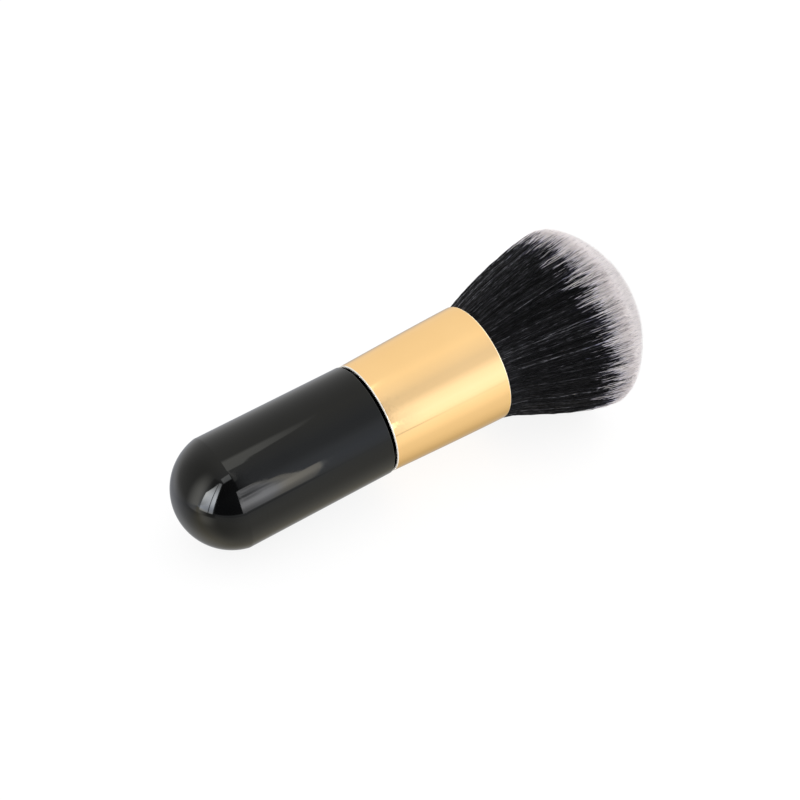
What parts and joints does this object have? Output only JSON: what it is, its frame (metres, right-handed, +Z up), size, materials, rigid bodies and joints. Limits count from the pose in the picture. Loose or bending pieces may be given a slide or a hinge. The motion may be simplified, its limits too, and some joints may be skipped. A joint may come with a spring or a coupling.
{
  "type": "powder brush",
  "caption": "Short, thick powder brush lying on its side: gloss black capsule handle, polished gold ferrule, and a dense flared black bristle head with white tips.",
  "frame": {"origin": "centre of the brush's box in plan, on the table that it lies on", "axes": "+X towards the bristle head, along the brush's shadow on the table; +Z up. The brush's own axis rises 5.8 degrees from +X, because the head is wider than the handle."},
  "size_m": [0.1384, 0.0516, 0.0511],
  "materials": {
    "handle": "polished black, mirror gloss",
    "ferrule": "polished pale gold anodised",
    "bristle": "fine synthetic filament, black with white tips",
    "thread": "waxed cotton thread",
    "resin": "cured amber resin",
    "glue": "dry glue"
  },
  "bodies": {
    "root": {"handle": "handle", "ferrule": "ferrule", "bristle_head": "bristle", "binding_thread": "thread", "root_plug": "resin", "neck_glue": "glue"}
  },
  "joints": []
}
